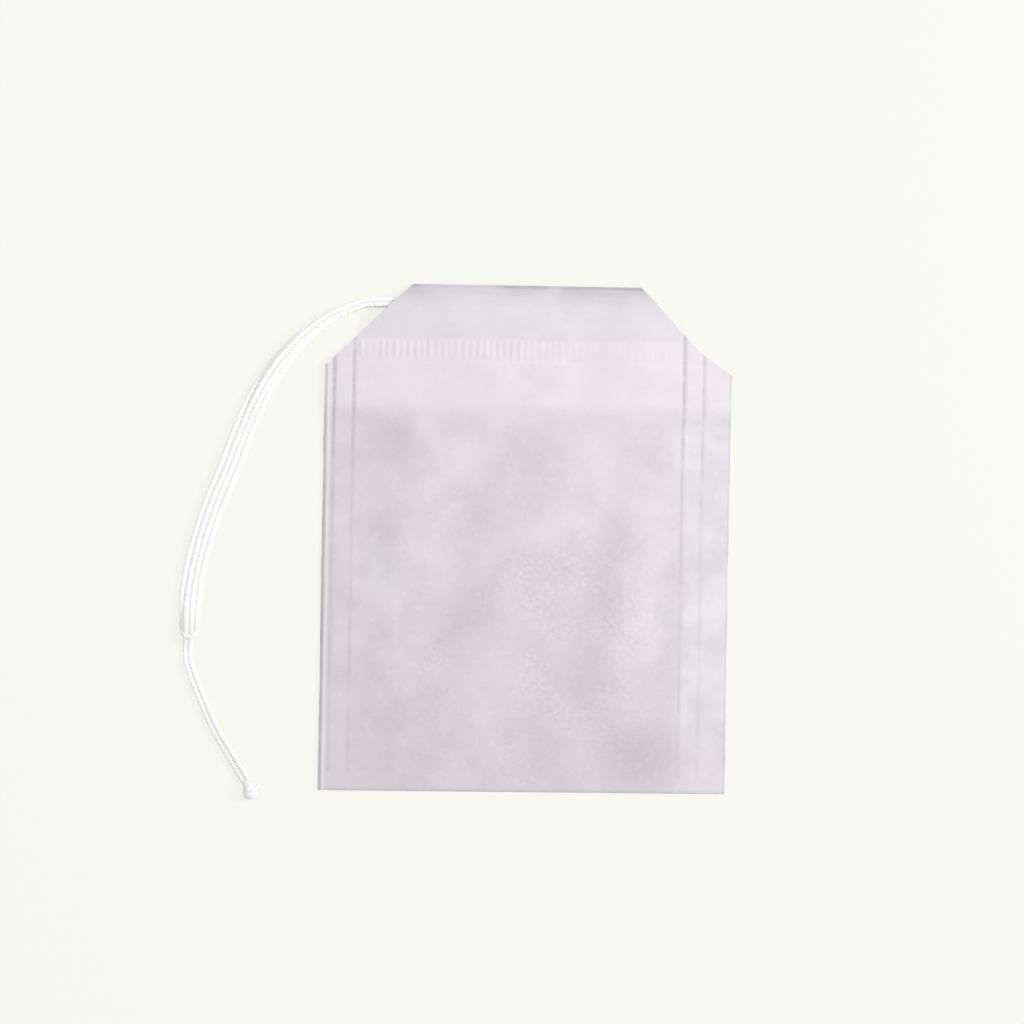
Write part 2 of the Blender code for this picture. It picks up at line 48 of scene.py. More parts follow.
view = {
    "roll": math.radians(1.0),  # the bag leans this much clockwise in the picture
    "centre": (-0.0019, 0.0038, 0.0),
    "width": 0.1413,  # across the picture at table height
    "lens": 100.0,
    "sensor": 36.0,
    "nearest": 0.01,  # anything closer to the camera isn't drawn
}
lighting = {
    "worldColor": (1.0, 1.0, 0.995),
    "worldStrength": 0.58,
    "keyPlace": (0.36, 0.08, 0.30),
    "keySize": 0.12,
    "keyPower": 1.38,
    "fillPlace": (-0.22, 0.10, 0.34),
    "fillSize": 0.30,
    "fillPower": 0.17,
}
floor = {
    "size": 4.0,
    "color": (0.930, 0.940, 0.872),
    "steady": 0.86,  # share of the floor's own colour that no lamp changes in the picture
    "drop": 0.00002,  # below the part, so that no face of it lies in the floor
}

# The strip of paper and how it is folded, as in the solid part.
bagLow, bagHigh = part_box("filter_bag")
halfWidth = (bagHigh[0] - bagLow[0]) / 2
halfLength = 0.035
paper = {
    "wall": 0.00011,
    "ply": 0.00022,
    "pressedPly": 0.00014,
    "channelPly": 0.00084,
    "hemDepth": 0.0166,
    "hemStep": 0.0032,
    "swell": 0.00070,
    "swellEdge": 0.009,
    "bottomSlope": 0.010,
    "bottomRise": 0.00040,  # the bottom fold is askew and ends this much higher at the right
    "edgeWaver": 0.00017,
    "channelWidth": 0.0076,
    "crimpWidth": 0.0029,
    "crimpBlend": 0.0004,
    "fineStep": 0.00006,  # between lines of points at the weld lines
    "coarseStep": 0.00021,  # and elsewhere
    "cutZone": 0.0015,  # how far round a corner's cut the sheet is sliced
    "cutPast": 0.0003,  # how far a cut runs on past the bag's side
    "sharp": math.radians(75),
}
ribs = {
    "pitch": 0.00095,
    "height": 0.00009,
    "inset": 0.0005,  # from the weld lines
    "waver": 0.25,  # of a rib's place, in pitches
    "uneven": (0.85, 0.7),  # middle height, and what chance adds or takes
    "fade": (-0.003, 0.008, 0.8),  # across, from and to, and how much
    "ragged": 0.0003,
    "lowerEnd": 0.0006,
    "upperEnd": (-0.0004, 0.0002),
}
waves = {
    "length": 0.0205,
    "height": 0.00032,
    "lean": 0.38,  # across for each metre along the bag
    "crest": (0.0047, 0.0130),
    "fade": 0.006,
    "dentAt": (0.0095, -0.0290),
    "dentRadius": 0.0085,
    "dentDepth": 0.00040,
    "bend": (60.0, 0.3),  # scale and share of the waves' unevenness
    "small": 0.00006,
    # Crinkles between the waves: share of the height above, scales across and along, layer of the noise
    "crinkles": ((1.6, 190.0, 150.0, 4.2), (0.5, 520.0, 480.0, 7.7)),
}
seals = {
    "left": (-halfWidth + 0.0013, -halfWidth + 0.0040),
    "right": (halfWidth - 0.0065, halfWidth - 0.0038),
    "end": 0.0032,
    "floorWidth": 0.0001,
    "grooveWidth": 0.0010,
    "depth": 0.00005,
    "strengths": (0.90, 0.85, 0.75, 0.60),  # of the grey lines, from left to right
}
corners = {
    "left": {"side": -1, "across": 0.0120, "down": 0.0114, "bow": 0.0, "late": 1.0},
    "right": {"side": 1, "across": 0.0127, "down": 0.0118, "bow": 0.00070, "late": 1.35},
}
thread = {
    "legDiameter": 0.00073,
    "tailDiameter": 0.00066,
    "loosened": (0.12, -0.0125, 0.0240),  # how much fuller between these heights, where the plies are slack
    "wander": 0.00010,  # of the strands within their bundle
    "hemDiameter": 0.00062,  # squashed flat inside the hem
    "space": 0.00004,
    "fromTop": 0.0026,
    "loopInset": 0.0010,
    "legSpread": 0.00119,
    "tailSpread": 0.00038,
    "lift": 1.14,  # keeps the lobes of the twist above the table
    "turnReach": 1.05,
    "turnSquare": 0.92,
    "knotRadius": 0.00100,
    "stubLength": 0.0011,
    "plyTurn": 0.0013,  # length of one turn of the two plies
    "turnWaver": 0.12,  # of a turn
    "uneven": 0.07,  # share by which the thickness changes
    "section": (0.82, 0.20, 0.8),  # core and lobes in radii, and how sharp the lobes are
    "bundlePoints": 25,
    "tailPoints": 7,
    "ringStep": 0.00011,
    "sides": 16,
}
# The bundle's middle line from the corner, then how far its strands have spread.
bundleRoute = [
    (-0.0224, 0.0323, 0.0), (-0.0247, 0.0315, 0.0), (-0.0275, 0.0302, 0.05), (-0.0303, 0.0281, 0.25),
    (-0.0326, 0.0258, 0.45), (-0.0350, 0.0228, 0.70), (-0.0376, 0.0182, 0.95), (-0.0393, 0.0140, 1.0),
    (-0.0410, 0.0093, 1.0), (-0.0430, 0.0042, 1.0), (-0.0446, -0.0009, 1.0), (-0.0454, -0.0042, 1.0),
    (-0.0459, -0.0075, 1.0), (-0.0461, -0.0107, 0.88), (-0.0461, -0.0131, 0.72),
]
bightEnd = (-0.0461, -0.0138)
tailRoute = [
    (-0.0463, -0.0158), (-0.0460, -0.0182), (-0.0443, -0.0225), (-0.0422, -0.0271), (-0.0393, -0.0318),
    (-0.0378, -0.0342),
]
knotAt = (-0.0373, -0.0355)

foldAxis = halfLength - paper["ply"] / 2 - paper["wall"] / 2
hemEdge = halfLength - paper["hemDepth"]
crimpTop = halfLength - paper["channelWidth"]
crimpBottom = crimpTop - paper["crimpWidth"]
threadY = halfLength - thread["fromTop"]
sealBottom = -halfLength + seals["end"]
weldLines = seals["left"] + seals["right"]
strandPitch = thread["tailDiameter"] + thread["space"]
frontThreadZ = paper["wall"] / 2 + 1.5 * paper["channelPly"] + paper["ply"]
backThreadZ = paper["wall"] / 2 + paper["channelPly"] / 2


def smoothStep(value, low, high):
    part = min(max((value - low) / (high - low), 0.0), 1.0)
    return part * part * (3 - 2 * part)


def newObject(name, bm, material):
    mesh = bpy.data.meshes.new(name)
    bm.to_mesh(mesh)
    bm.free()
    mesh.materials.append(material)
    obj = bpy.data.objects.new(name, mesh)
    bpy.context.scene.collection.objects.link(obj)
    return obj


# Camera, lamps and floor


def aimAt(obj, target):
    heading = Vector(target) - obj.location
    obj.rotation_euler = heading.to_track_quat("-Z", "Y").to_euler()


def makeCamera():
    data = bpy.data.cameras.new("camera")
    data.lens = view["lens"]
    data.sensor_width = view["sensor"]
    camera = bpy.data.objects.new("camera", data)
    bpy.context.scene.collection.objects.link(camera)
    x, y, z = view["centre"]
    camera.location = (x, y, z + view["width"] * view["lens"] / view["sensor"])
    camera.rotation_euler = (0.0, 0.0, view["roll"])
    data.clip_start = view["nearest"]
    bpy.context.scene.camera = camera


def makeLamp(name, place, size, power):
    data = bpy.data.lights.new(name, "AREA")
    data.shape = "DISK"
    data.size = size
    data.energy = power
    lamp = bpy.data.objects.new(name, data)
    bpy.context.scene.collection.objects.link(lamp)
    lamp.location = place
    aimAt(lamp, (0.0, 0.0, 0.0))


def makeWorld():
    world = bpy.data.worlds.new("studio")
    world.use_nodes = True
    sky = world.node_tree.nodes["Background"]
    sky.inputs["Color"].default_value = (*lighting["worldColor"], 1.0)
    sky.inputs["Strength"].default_value = lighting["worldStrength"]
    bpy.context.scene.world = world


def makeFloor():
    material = bpy.data.materials.new("floor")
    material.use_nodes = True
    tree = material.node_tree
    shader = tree.nodes["Principled BSDF"]
    shader.inputs["Base Color"].default_value = (*floor["color"], 1.0)
    shader.inputs["Roughness"].default_value = 1.0
    shader.inputs["Specular IOR Level"].default_value = 0.0
    steady = tree.nodes.new("ShaderNodeEmission")
    steady.inputs["Color"].default_value = (*floor["color"], 1.0)
    steady.inputs["Strength"].default_value = 1.0
    seen = tree.nodes.new("ShaderNodeLightPath")
    share = tree.nodes.new("ShaderNodeMath")
    share.operation = "MULTIPLY"
    share.inputs[1].default_value = floor["steady"]
    mix = tree.nodes.new("ShaderNodeMixShader")
    tree.links.new(seen.outputs["Is Camera Ray"], share.inputs[0])
    tree.links.new(share.outputs[0], mix.inputs["Fac"])
    tree.links.new(shader.outputs["BSDF"], mix.inputs[1])
    tree.links.new(steady.outputs["Emission"], mix.inputs[2])
    tree.links.new(mix.outputs["Shader"], tree.nodes["Material Output"].inputs["Surface"])
    bm = bmesh.new()
    bmesh.ops.create_grid(bm, x_segments=1, y_segments=1, size=floor["size"] / 2)
    obj = newObject("floor", bm, material)
    obj.location = (0.0, 0.0, -floor["drop"])


# Shared effects: node groups that give a mask from places on the object


def newGroup(name, inputs, outputs):
    group = bpy.data.node_groups.new(name, "ShaderNodeTree")
    for label, kind, value in inputs:
        socket = group.interface.new_socket(label, in_out="INPUT", socket_type=kind)
        if value is not None:
            socket.default_value = value
    for label, kind in outputs:
        group.interface.new_socket(label, in_out="OUTPUT", socket_type=kind)
    return group, group.nodes.new("NodeGroupInput"), group.nodes.new("NodeGroupOutput")


def noiseNode(tree, scale, detail, rough, vector):
    node = tree.nodes.new("ShaderNodeTexNoise")
    node.inputs["Scale"].default_value = scale
    node.inputs["Detail"].default_value = detail
    node.inputs["Roughness"].default_value = rough
    tree.links.new(vector, node.inputs["Vector"])
    return node.outputs["Fac"]


def mathNode(tree, operation, first, second=None, third=None):
    node = tree.nodes.new("ShaderNodeMath")
    node.operation = operation
    for socket, value in zip(node.inputs, (first, second, third)):
        if value is None:
            continue
        if isinstance(value, (int, float)):
            socket.default_value = value
        else:
            tree.links.new(value, socket)
    return node.outputs[0]


def rangeNode(tree, value, low, high, toLow=0.0, toHigh=1.0):
    node = tree.nodes.new("ShaderNodeMapRange")
    node.interpolation_type = "SMOOTHSTEP"
    tree.links.new(value, node.inputs["Value"])
    for label, number in (("From Min", low), ("From Max", high), ("To Min", toLow), ("To Max", toHigh)):
        node.inputs[label].default_value = number
    return node.outputs["Result"]


def mixColor(tree, factor, first, second):
    node = tree.nodes.new("ShaderNodeMix")
    node.data_type = "RGBA"
    for label, value in (("Factor", factor), ("A", first), ("B", second)):
        socket = [s for s in node.inputs if s.name == label and s.enabled][0]
        if isinstance(value, tuple):
            socket.default_value = (*value, 1.0)
        elif isinstance(value, (int, float)):
            socket.default_value = value
        else:
            tree.links.new(value, socket)
    return [s for s in node.outputs if s.enabled][0]


def distanceNode(tree, place, middle):
    node = tree.nodes.new("ShaderNodeVectorMath")
    node.operation = "DISTANCE"
    tree.links.new(place, node.inputs[0])
    node.inputs[1].default_value = (*middle, 0.0)
    return node.outputs["Value"]


# Loose fibres in all directions: thin curly lines where a noise crosses its middle, broken up by another.
fibreLook = {
    "curls": ((620.0, 0.016, 1500.0), (1150.0, 0.024, 900.0)),  # scale, half width, scale of the breaks
    "curlDetail": (1.5, 0.5),  # detail and roughness
    "breakDetail": (1.0, 0.5),
    "broken": (0.57, 0.68),
    "felt": (1500.0, 5.0, 0.70),  # scale, detail and roughness
    "cloud": (130.0, 4.0, 0.60),
}


def buildFibreGroup():
    group, start, end = newGroup(
        "fibres",
        [("Vector", "NodeSocketVector", None), ("Size", "NodeSocketFloat", 1.0)],
        [("Fibre", "NodeSocketFloat"), ("Felt", "NodeSocketFloat"), ("Cloud", "NodeSocketFloat")],
    )
    scaled = group.nodes.new("ShaderNodeVectorMath")
    scaled.operation = "SCALE"
    group.links.new(start.outputs["Vector"], scaled.inputs[0])
    group.links.new(start.outputs["Size"], scaled.inputs["Scale"])
    place = scaled.outputs["Vector"]
    total = None
    for scale, width, cover in fibreLook["curls"]:
        wander = noiseNode(group, scale, *fibreLook["curlDetail"], place)
        middle = mathNode(group, "ABSOLUTE", mathNode(group, "SUBTRACT", wander, 0.5))
        line = rangeNode(group, middle, width, 0.0)
        breaks = noiseNode(group, cover, *fibreLook["breakDetail"], place)
        piece = mathNode(group, "MULTIPLY", line, rangeNode(group, breaks, *fibreLook["broken"]))
        total = piece if total is None else mathNode(group, "MAXIMUM", total, piece)
    group.links.new(total, end.inputs["Fibre"])
    group.links.new(noiseNode(group, *fibreLook["felt"], place), end.inputs["Felt"])
    group.links.new(noiseNode(group, *fibreLook["cloud"], place), end.inputs["Cloud"])
    return group


def placeGroup(tree, group, vector, size):
    node = tree.nodes.new("ShaderNodeGroup")
    node.node_tree = group
    node.inputs["Size"].default_value = size
    tree.links.new(vector, node.inputs["Vector"])
    return node


# Tones of the paper and where they lie. Four numbers in a row are a mask's range and its two strengths.
paperLook = {
    "pocket": (0.744, 0.698, 0.748),  # two plies with air between
    "bottom": (0.700, 0.654, 0.704),  # the same with painted shade, towards the bottom fold
    "hem": (0.816, 0.770, 0.821),  # four plies
    "channel": (0.768, 0.723, 0.773),  # four plies, thinned by the knurled seal and the thread
    "paintedLight": (0.808, 0.766, 0.815),  # painted light on the flat margin beyond the right seal, and on the rises
    "fold": (0.440, 0.420, 0.444),  # painted shade along the folds at the mouth and the bottom
    "seal": (0.520, 0.492, 0.525),  # along the weld lines
    "edge": (0.260, 0.250, 0.260),  # painted shadow along the left edge
    "pale": (0.860, 0.825, 0.864),
    "shade": (0.570, 0.530, 0.574),
    "bottomReach": (-0.018, 0.008),  # along the bag, where the painted shade towards the bottom turns into the pocket's tone
    "marginReach": (-0.0018, 0.0010),  # from the right seal
    "marginFade": (-0.034, -0.022, 0.45),  # along the bag, and what is left of the margin's painted light at the bottom fold
    # Painted shade where the pocket sinks and painted light where it rises: across, along, radius, strength
    "shadedHollows": (
        (0.0162, -0.0290, 0.0085, 1.0), (-0.0060, -0.0105, 0.0065, 0.45),
        (0.0020, 0.0128, 0.0060, 0.20),
    ),
    "litRises": (
        (-0.0195, -0.0040, 0.0090, 0.75), (0.0165, -0.0105, 0.0085, 0.50),
        (-0.0134, 0.0070, 0.0050, 0.50), (-0.0190, -0.0180, 0.0110, 0.40),
        (-0.0185, 0.0130, 0.0050, 0.35),
    ),
    "spotEdge": (0.004, 0.002),  # how ragged and how soft the edge of such a spot is
    "hemEdge": (0.0036, 0.0026),  # the same for the hem's edge
    "hemCalm": 0.5,  # how much weaker the patches are on the hem
    "channelReach": (-0.0012, 0.0034),  # from the top of the knurled seal
    "slopeLight": (0.0024, 0.0026, 0.0006, 0.5),  # painted light on the slope below the thread: how far below, half width, core and strength
    "patches": (0.32, 0.68, 0.0, 0.46),
    "specks": (0.40, 0.75, 0.0, 0.16),
    "fibre": 0.20,
    "crinkled": ((0.0, -0.0150), 0.0260, 0.4),  # middle and reach of the fine crinkles, and share in full
    "crinklePatches": (100.0, 2.0, 0.5),  # scale, detail and roughness
    "crinkleBreaks": (0.40, 0.58),
    "crinkle": (1900.0, 2.0, 0.6),
    # Painted light on the crinkles' raised parts and painted shade in their sunk parts
    "raisedLight": (0.52, 0.68, 0.0, 0.20),
    "sunkShade": (0.48, 0.34, 0.0, 0.34),
    "foldPatches": (130.0, 2.0, 0.5),
    "foldUneven": (0.35, 0.60, 0.45, 1.0),
    "foldLine": (0.0002, 0.0007),  # painted shade line below the mouth, and half width
    "foldSlope": (0.0034, 0.0006, 0.42),  # painted shade on the slope below the mouth: from and to, and strength
    "bottomLine": (0.0007, 0.0002, 0.40),  # painted shade line above the bottom: from and to, and strength
    "sealStart": 0.0012,
    "sealFade": (-0.018, -0.004, 0.55),  # from the hem's edge, and what is left below
    "sealPatches": (160.0, 3.0, 0.6),
    "sealUneven": (0.34, 0.60, 0.45, 1.0),
    "sealBroken": (0.30, 0.60, 0.55, 1.0),
    "sealHalfWidth": 0.00046,
    "rimHighlight": (0.00066, 0.00034, 0.55),  # painted highlight in from the left edge: half width and strength
    "leftEdgeShadow": (0.00052, 0.00016, 0.42),  # painted shadow at the left edge: in from the edge, from and to, and strength
    # Painted shadow at the right edge: in from the edge, from and to, and strength
    "rightEdgeShadow": (0.00036, 0.00006, 0.40),
    "roughness": 0.92,
    "specular": 0.15,
    "bump": (0.13, 0.00008),  # strength and depth
    "relief": (3.0, 0.25),  # crinkles and loose fibres against the felt
}


def tonePlies(tree, place, x, y, texture):
    # The tone tells how many plies lie over each other. Painted shade and painted light show where the pocket
    # sinks and rises, painted shade darkens it towards the bottom, and painted light lifts the right margin
    # and the slope below the thread.
    look = paperLook
    felt, cloud, fibre = (texture.outputs[label] for label in ("Felt", "Cloud", "Fibre"))
    # Painted shade: the pocket darkens towards the bottom fold.
    color = mixColor(tree, rangeNode(tree, y, *look["bottomReach"]), look["bottom"], look["pocket"])
    # Painted light on the flat margin beyond the right seal, weaker towards the bottom fold.
    paintedLight = rangeNode(tree, x, *(seals["right"][0] + reach for reach in look["marginReach"]))
    paintedLight = mathNode(tree, "MULTIPLY", paintedLight, rangeNode(tree, y, *look["marginFade"], 1.0))
    color = mixColor(tree, paintedLight, color, look["paintedLight"])
    ragged, soft = look["spotEdge"]
    # Painted shade in the pocket's hollows and painted light on its rises.
    for spots, tone in ((look["shadedHollows"], look["shade"]), (look["litRises"], look["paintedLight"])):
        for across, along, radius, strength in spots:
            away = mathNode(tree, "MULTIPLY_ADD", cloud, ragged, distanceNode(tree, place, (across, along)))
            spot = rangeNode(tree, away, radius + soft, soft, 0.0, strength)
            color = mixColor(tree, spot, color, tone)
    ragged, soft = look["hemEdge"]
    raggedY = mathNode(tree, "MULTIPLY_ADD", cloud, ragged, y)
    hem = rangeNode(tree, raggedY, hemEdge, hemEdge + soft)
    color = mixColor(tree, hem, color, look["hem"])
    channel = rangeNode(tree, y, *(crimpTop + reach for reach in look["channelReach"]))
    color = mixColor(tree, channel, color, look["channel"])
    # Painted light on the slope below the thread, where the channel's rise would be shaded.
    below, halfWide, core, strength = look["slopeLight"]
    away = mathNode(tree, "ABSOLUTE", mathNode(tree, "SUBTRACT", y, threadY - below))
    color = mixColor(tree, rangeNode(tree, away, halfWide, core, 0.0, strength), color, look["pale"])
    calm = mathNode(tree, "MULTIPLY_ADD", hem, -look["hemCalm"], 1.0)
    patches = mathNode(tree, "MULTIPLY", rangeNode(tree, cloud, *look["patches"]), calm)
    color = mixColor(tree, patches, color, look["shade"])
    color = mixColor(tree, rangeNode(tree, felt, *look["specks"]), color, look["pale"])
    return mixColor(tree, mathNode(tree, "MULTIPLY", fibre, look["fibre"]), color, look["pale"])


def toneCrinkles(tree, place, color):
    # The middle of the pocket is finely crinkled in places, with painted light on the crinkles' raised parts
    # and painted shade in their sunk parts.
    look = paperLook
    middle, reach, core = look["crinkled"]
    patches = rangeNode(tree, noiseNode(tree, *look["crinklePatches"], place), *look["crinkleBreaks"])
    within = rangeNode(tree, distanceNode(tree, place, middle), reach, core * reach)
    creased = mathNode(tree, "MULTIPLY", patches, within)
    crinkle = noiseNode(tree, *look["crinkle"], place)
    raisedLight = mathNode(tree, "MULTIPLY", rangeNode(tree, crinkle, *look["raisedLight"]), creased)
    sunkShade = mathNode(tree, "MULTIPLY", rangeNode(tree, crinkle, *look["sunkShade"]), creased)
    # Painted light where the crinkles rise, painted shade where they sink.
    color = mixColor(tree, sunkShade, mixColor(tree, raisedLight, color, look["pale"]), look["shade"])
    return color, mathNode(tree, "MULTIPLY", crinkle, creased)


def paintFoldShade(tree, place, x, y, color):
    # Painted shade along the folds: a thin grey line of uneven strength at the mouth, deepening over the
    # slope just below it, and a fainter one at the bottom fold.
    look = paperLook
    uneven = rangeNode(tree, noiseNode(tree, *look["foldPatches"], place), *look["foldUneven"])
    below, halfWide = look["foldLine"]
    near = mathNode(tree, "ABSOLUTE", mathNode(tree, "SUBTRACT", y, halfLength - below))
    line = rangeNode(tree, near, halfWide, 0.0, 0.0, 1.0)
    low, high, strength = look["foldSlope"]
    slope = rangeNode(tree, y, halfLength - low, halfLength - high, 0.0, strength)
    # Painted shade along the mouth's fold and the slope below it.
    fold = mathNode(tree, "MULTIPLY", mathNode(tree, "MAXIMUM", line, slope), uneven)
    color = mixColor(tree, fold, color, look["fold"])
    fromBottom = mathNode(tree, "MULTIPLY_ADD", x, -paper["bottomRise"] / (2 * halfWidth), y)
    high, low, strength = look["bottomLine"]
    bottomLine = rangeNode(tree, fromBottom, high - halfLength, low - halfLength, 0.0, strength)
    # Painted shade along the bottom fold.
    return mixColor(tree, bottomLine, color, look["fold"])


def toneSeals(tree, place, x, y, felt, color):
    # The weld lines are soft and uneven, and stronger over the hem than below it.
    look = paperLook
    shown = rangeNode(tree, y, sealBottom - look["sealStart"], sealBottom)
    low, high, left = look["sealFade"]
    shown = mathNode(tree, "MULTIPLY", shown, rangeNode(tree, y, hemEdge + low, hemEdge + high, left, 1.0))
    patchy = rangeNode(tree, noiseNode(tree, *look["sealPatches"], place), *look["sealUneven"])
    shown = mathNode(tree, "MULTIPLY", shown, patchy)
    for lineX, strength in zip(weldLines, seals["strengths"]):
        away = mathNode(tree, "ABSOLUTE", mathNode(tree, "SUBTRACT", x, lineX))
        seal = rangeNode(tree, away, look["sealHalfWidth"], 0.0, 0.0, strength)
        broken = mathNode(tree, "MULTIPLY", seal, rangeNode(tree, felt, *look["sealBroken"]))
        color = mixColor(tree, mathNode(tree, "MULTIPLY", broken, shown), color, look["seal"])
    return color


def paintEdgeLightAndShade(tree, x, color):
    # The left edge gets a painted highlight along its rim and a painted shadow at its edge, and the right
    # edge a faint painted shadow line.
    look = paperLook
    # Painted highlight along the left edge's rim.
    inside, halfWide, strength = look["rimHighlight"]
    away = mathNode(tree, "ABSOLUTE", mathNode(tree, "ADD", x, halfWidth - inside))
    color = mixColor(tree, rangeNode(tree, away, halfWide, 0.0, 0.0, strength), color, look["pale"])
    # Painted shadow along the left edge.
    near, far, strength = look["leftEdgeShadow"]
    leftEdgeShadow = rangeNode(tree, x, -halfWidth + near, -halfWidth + far, 0.0, strength)
    color = mixColor(tree, leftEdgeShadow, color, look["edge"])
    near, far, strength = look["rightEdgeShadow"]
    rightEdgeShadow = rangeNode(tree, x, halfWidth - near, halfWidth - far, 0.0, strength)
    # Painted shadow along the right edge, in the weld lines' grey.
    return mixColor(tree, rightEdgeShadow, color, look["seal"])


def addBump(tree, shader, height, strength, depth):
    bump = tree.nodes.new("ShaderNodeBump")
    bump.inputs["Strength"].default_value = strength
    bump.inputs["Distance"].default_value = depth
    tree.links.new(height, bump.inputs["Height"])
    tree.links.new(bump.outputs["Normal"], shader.inputs["Normal"])


def makePaperMaterial(fibres):
    material = bpy.data.materials.new("filterPaper")
    material.use_nodes = True
    tree = material.node_tree
    shader = tree.nodes["Principled BSDF"]
    place = tree.nodes.new("ShaderNodeTexCoord").outputs["Object"]
    split = tree.nodes.new("ShaderNodeSeparateXYZ")
    tree.links.new(place, split.inputs[0])
    x, y = split.outputs["X"], split.outputs["Y"]
    texture = placeGroup(tree, fibres, place, 1.0)
    felt, fibre = texture.outputs["Felt"], texture.outputs["Fibre"]

    color = tonePlies(tree, place, x, y, texture)
    color, crinkles = toneCrinkles(tree, place, color)
    color = paintFoldShade(tree, place, x, y, color)
    color = toneSeals(tree, place, x, y, felt, color)
    color = paintEdgeLightAndShade(tree, x, color)
    tree.links.new(color, shader.inputs["Base Color"])

    crinkleShare, fibreShare = paperLook["relief"]
    relief = mathNode(tree, "MULTIPLY_ADD", fibre, fibreShare, felt)
    relief = mathNode(tree, "MULTIPLY_ADD", crinkles, crinkleShare, relief)
    addBump(tree, shader, relief, *paperLook["bump"])
    shader.inputs["Roughness"].default_value = paperLook["roughness"]
    shader.inputs["Specular IOR Level"].default_value = paperLook["specular"]
    return material


cottonLook = {
    "light": (0.850, 0.853, 0.851),
    "shade": (0.745, 0.750, 0.750),
    # Painted shade where the strands crowd together at the knot and at the bight's turn
    "crowdedShade": (0.68, 0.68, 0.685),
    "crowdedShadePlaces": ((knotAt, 0.026, 0.75), (bightEnd, 0.0030, 0.50)),  # painted shade where the strands crowd at the knot and the bight's turn: middle, reach and strength
    "crowdedShadeCore": 0.001,
    "lint": (0.45, 0.75, 0.0, 0.5),
    "lintSize": 2.5,
    "glow": 0.15,  # painted light: an even glow that lifts the shade between the strands
    "subsurface": (0.6, 0.0006),  # weight and depth
    "roughness": 0.85,
    "specular": 0.2,
    "bump": (0.25, 0.00004),
}


def makeCottonMaterial(fibres):
    look = cottonLook
    material = bpy.data.materials.new("cottonThread")
    material.use_nodes = True
    tree = material.node_tree
    shader = tree.nodes["Principled BSDF"]
    place = tree.nodes.new("ShaderNodeTexCoord").outputs["Object"]
    lint = placeGroup(tree, fibres, place, look["lintSize"]).outputs["Felt"]
    color = mixColor(tree, rangeNode(tree, lint, *look["lint"]), look["light"], look["shade"])
    # Painted shade greys the cotton towards the knot and the bight's turn.
    for middle, reach, strength in look["crowdedShadePlaces"]:
        away = distanceNode(tree, place, middle)
        crowdedShade = rangeNode(tree, away, reach, look["crowdedShadeCore"], 0.0, strength)
        color = mixColor(tree, crowdedShade, color, look["crowdedShade"])
    tree.links.new(color, shader.inputs["Base Color"])
    addBump(tree, shader, lint, *look["bump"])
    weight, depth = look["subsurface"]
    shader.inputs["Emission Color"].default_value = (*look["light"], 1.0)
    # Painted light: the cotton glows a little to lift the shade between the strands.
    shader.inputs["Emission Strength"].default_value = look["glow"]
    shader.inputs["Roughness"].default_value = look["roughness"]
    shader.inputs["Specular IOR Level"].default_value = look["specular"]
    shader.inputs["Subsurface Weight"].default_value = weight
    shader.inputs["Subsurface Radius"].default_value = (1.0, 1.0, 1.0)
    shader.inputs["Subsurface Scale"].default_value = depth
    return material


# The folded strip: how its plies lie over each other at any place of the bag


def groove(x):
    nearest = min(abs(x - line) for line in weldLines)
    return 1 - smoothStep(nearest, seals["floorWidth"] / 2, seals["grooveWidth"] / 2)


def welded(x, y):
    return groove(x) * smoothStep(y, sealBottom - seals["grooveWidth"], sealBottom)


def crimped(y):
    rising = smoothStep(y, crimpBottom - paper["crimpBlend"], crimpBottom)
    return rising * (1 - smoothStep(y, crimpTop, crimpTop + paper["crimpBlend"]))


def ridge(y):
    low, high = crimpTop + paper["crimpBlend"], threadY - strandPitch
    rising = 0.25 * smoothStep(y, low, high) + 0.75 * min(max((y - low) / (high - low), 0.0), 1.0)
    return rising * (1 - smoothStep(y, threadY + strandPitch, foldAxis))


def rib(x, y):
    # The knurled wheel leaves short ribs across the seal, none quite like the next.
    low, high = seals["left"][1] + ribs["inset"], seals["right"][0] - ribs["inset"]
    if not low < x < high:
        return 0.0
    place = (x - low) / ribs["pitch"] + ribs["waver"] * noise.noise(Vector((x * 600.0, 0.5, 0.0)))
    middle, chance = ribs["uneven"]
    uneven = middle + chance * noise.noise(Vector((math.floor(place) * 3.71 + 0.33, 0.5, 0.4)))
    fadeFrom, fadeTo, fade = ribs["fade"]
    fading = 1 - fade * smoothStep(x, fadeFrom, fadeTo)
    lower = crimpBottom + ribs["ragged"] * noise.noise(Vector((math.floor(place) * 1.93, 2.5, 0.1)))
    ends = smoothStep(y, lower, lower + ribs["lowerEnd"])
    ends *= 1 - smoothStep(y, *(crimpTop + reach for reach in ribs["upperEnd"]))
    return uneven * fading * ends * (0.5 - 0.5 * math.cos(2 * math.pi * place)) ** 2


def undulation(x, y):
    # The empty pocket isn't quite flat: long soft waves lean across it, with small crinkles between.
    crestX, crestY = waves["crest"]
    fromCrest = x - crestX - waves["lean"] * (y - crestY)
    scale, share = waves["bend"]
    bend = 1.0 + share * noise.noise(Vector((x * scale, y * scale, 1.3)))
    wave = waves["height"] * bend * math.cos(2 * math.pi * fromCrest / waves["length"])
    wave *= 1 - smoothStep(y, hemEdge - waves["fade"], hemEdge)
    fromDent = math.hypot(x - waves["dentAt"][0], y - waves["dentAt"][1])
    wave -= waves["dentDepth"] * (1 - smoothStep(fromDent, 0.0, waves["dentRadius"]))
    for share, across, along, layer in waves["crinkles"]:
        wave += share * waves["small"] * noise.noise(Vector((x * across, y * along, layer)))
    return wave


def channelPly(x, y):
    ply = paper["pressedPly"] + (paper["ply"] - paper["pressedPly"]) * (1 - crimped(y))
    loose = 1.0 + 0.10 * noise.noise(Vector((x * 120.0, y * 160.0, 2.2)))
    return ply + (paper["channelPly"] - paper["ply"]) * ridge(y) * loose


